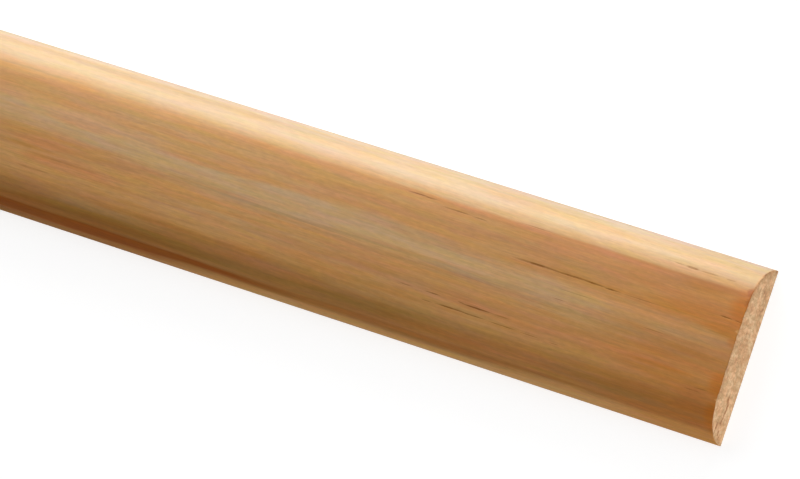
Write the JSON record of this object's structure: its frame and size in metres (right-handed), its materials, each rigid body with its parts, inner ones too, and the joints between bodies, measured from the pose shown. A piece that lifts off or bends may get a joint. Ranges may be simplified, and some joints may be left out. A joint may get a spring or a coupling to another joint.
{
  "type": "d shape moulding",
  "caption": "Straight length of clear softwood moulding with a D section: flat back, rounded shoulders and a shallow crowned face, sawn square at both ends.",
  "frame": {"origin": "middle of the flat back, half way along the length; the moulding lies on its back at Z = 0", "axes": "+X along the length, +Y across the width, +Z from the flat back towards the crown"},
  "size_m": [2.4, 0.034, 0.009],
  "materials": {
    "pine": "planed and sanded bare softwood, satin"
  },
  "bodies": {
    "root": {"moulding": "pine"}
  },
  "joints": []
}
